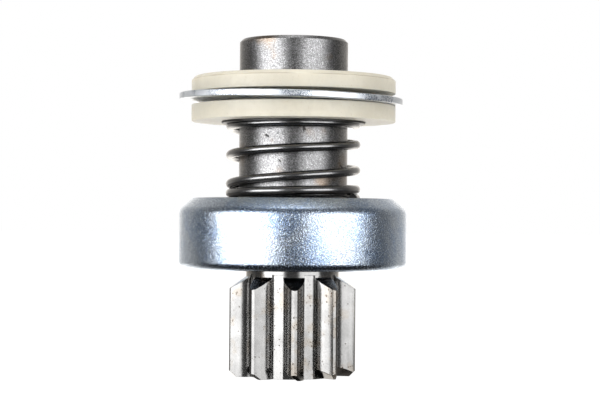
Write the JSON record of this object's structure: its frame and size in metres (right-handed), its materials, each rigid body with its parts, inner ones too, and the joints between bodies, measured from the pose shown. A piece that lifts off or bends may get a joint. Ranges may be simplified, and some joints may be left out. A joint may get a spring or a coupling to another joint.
{
  "type": "starter drive",
  "caption": "Engine starter drive: toothed pinion on a roller one-way clutch in a crimped zinc cover, splined sleeve, engagement spring and sliding nylon shift rings.",
  "frame": {"origin": "centre of the pinion's free end face, the lowest face of the part", "axes": "+Z along the axis from the pinion towards the sleeve, -Y towards the picture's viewer, +X to the right in the picture"},
  "size_m": [0.0534, 0.0532, 0.0786],
  "materials": {
    "ground_steel": "ground tooth flanks with a trace of brown oil",
    "bronze": "sintered bronze, oiled",
    "blue_zinc": "bright blue-white zinc plate",
    "dark_steel": "dark grey heat-treated steel, fine grain",
    "spring_steel": "black oil-tempered wire",
    "seat_steel": "dark thin washer",
    "bearing_steel": "hardened and polished",
    "ivory_nylon": "ivory nylon, satin"
  },
  "bodies": {
    "clutch": {"drive_sleeve": "dark_steel", "clutch_cover": "blue_zinc", "front_washer": "bearing_steel", "roller_plate": "bearing_steel", "snap_ring": "spring_steel", "engagement_spring": "spring_steel", "roller_spring_1": "spring_steel", "roller_spring_2": "spring_steel", "roller_spring_3": "spring_steel", "roller_spring_4": "spring_steel", "roller_spring_5": "spring_steel"},
    "pinion": {"pinion": "ground_steel", "front_bush": "bronze", "rear_bush": "bronze", "retaining_half_left": "bearing_steel", "retaining_half_right": "bearing_steel"},
    "spring_seat": {"spring_seat": "seat_steel"},
    "shift_rings": {"lower_shift_ring": "ivory_nylon", "upper_shift_ring": "ivory_nylon"},
    "shift_washer": {"shift_washer": "blue_zinc"},
    "plunger_1": {"roller_plunger_1": "bearing_steel"},
    "roller_1": {"roller_1": "bearing_steel"},
    "plunger_2": {"roller_plunger_2": "bearing_steel"},
    "roller_2": {"roller_2": "bearing_steel"},
    "plunger_3": {"roller_plunger_3": "bearing_steel"},
    "roller_3": {"roller_3": "bearing_steel"},
    "plunger_4": {"roller_plunger_4": "bearing_steel"},
    "roller_4": {"roller_4": "bearing_steel"},
    "plunger_5": {"roller_plunger_5": "bearing_steel"},
    "roller_5": {"roller_5": "bearing_steel"}
  },
  "joints": [
    {"name": "pinion_spin", "type": "hinge", "parent": "clutch", "child": "pinion", "pos_m": [0, 0, 0.0324], "axis": [0, 0, 1], "continuous": true},
    {"name": "shift_slide", "type": "slide", "parent": "clutch", "child": "spring_seat", "axis": [0, 0, 1], "range_m": [-0.008, 0], "stiffness_N_per_m": 4000, "springref_m": 0.006, "deforming": ["engagement_spring"]},
    {"name": "shift_rings_spin", "type": "hinge", "parent": "spring_seat", "child": "shift_rings", "pos_m": [0, 0, 0.0646], "axis": [0, 0, 1], "continuous": true},
    {"name": "shift_washer_spin", "type": "hinge", "parent": "shift_rings", "child": "shift_washer", "pos_m": [-0.0006, 0, 0.0646], "axis": [0.0218, -0.007, 0.9997], "continuous": true},
    {"name": "plunger_1_slide", "type": "slide", "parent": "clutch", "child": "plunger_1", "axis": [-1, 0, 0], "range_m": [0, 0.0007], "stiffness_N_per_m": 900, "springref_m": -0.002},
    {"name": "roller_1_spin", "type": "hinge", "parent": "plunger_1", "child": "roller_1", "pos_m": [0, 0.01392, 0.034], "axis": [0, 0, 1], "continuous": true},
    {"name": "plunger_2_slide", "type": "slide", "parent": "clutch", "child": "plunger_2", "axis": [-0.309, -0.9511, 0], "range_m": [0, 0.0007], "stiffness_N_per_m": 900, "springref_m": -0.002},
    {"name": "roller_2_spin", "type": "hinge", "parent": "plunger_2", "child": "roller_2", "pos_m": [-0.01324, 0.0043, 0.034], "axis": [0, 0, 1], "continuous": true},
    {"name": "plunger_3_slide", "type": "slide", "parent": "clutch", "child": "plunger_3", "axis": [0.809, -0.5878, 0], "range_m": [0, 0.0007], "stiffness_N_per_m": 900, "springref_m": -0.002},
    {"name": "roller_3_spin", "type": "hinge", "parent": "plunger_3", "child": "roller_3", "pos_m": [-0.00818, -0.01126, 0.034], "axis": [0, 0, 1], "continuous": true},
    {"name": "plunger_4_slide", "type": "slide", "parent": "clutch", "child": "plunger_4", "axis": [0.809, 0.5878, 0], "range_m": [0, 0.0007], "stiffness_N_per_m": 900, "springref_m": -0.002},
    {"name": "roller_4_spin", "type": "hinge", "parent": "plunger_4", "child": "roller_4", "pos_m": [0.00818, -0.01126, 0.034], "axis": [0, 0, 1], "continuous": true},
    {"name": "plunger_5_slide", "type": "slide", "parent": "clutch", "child": "plunger_5", "axis": [-0.309, 0.9511, 0], "range_m": [0, 0.0007], "stiffness_N_per_m": 900, "springref_m": -0.002},
    {"name": "roller_5_spin", "type": "hinge", "parent": "plunger_5", "child": "roller_5", "pos_m": [0.01324, 0.0043, 0.034], "axis": [0, 0, 1], "continuous": true}
  ]
}
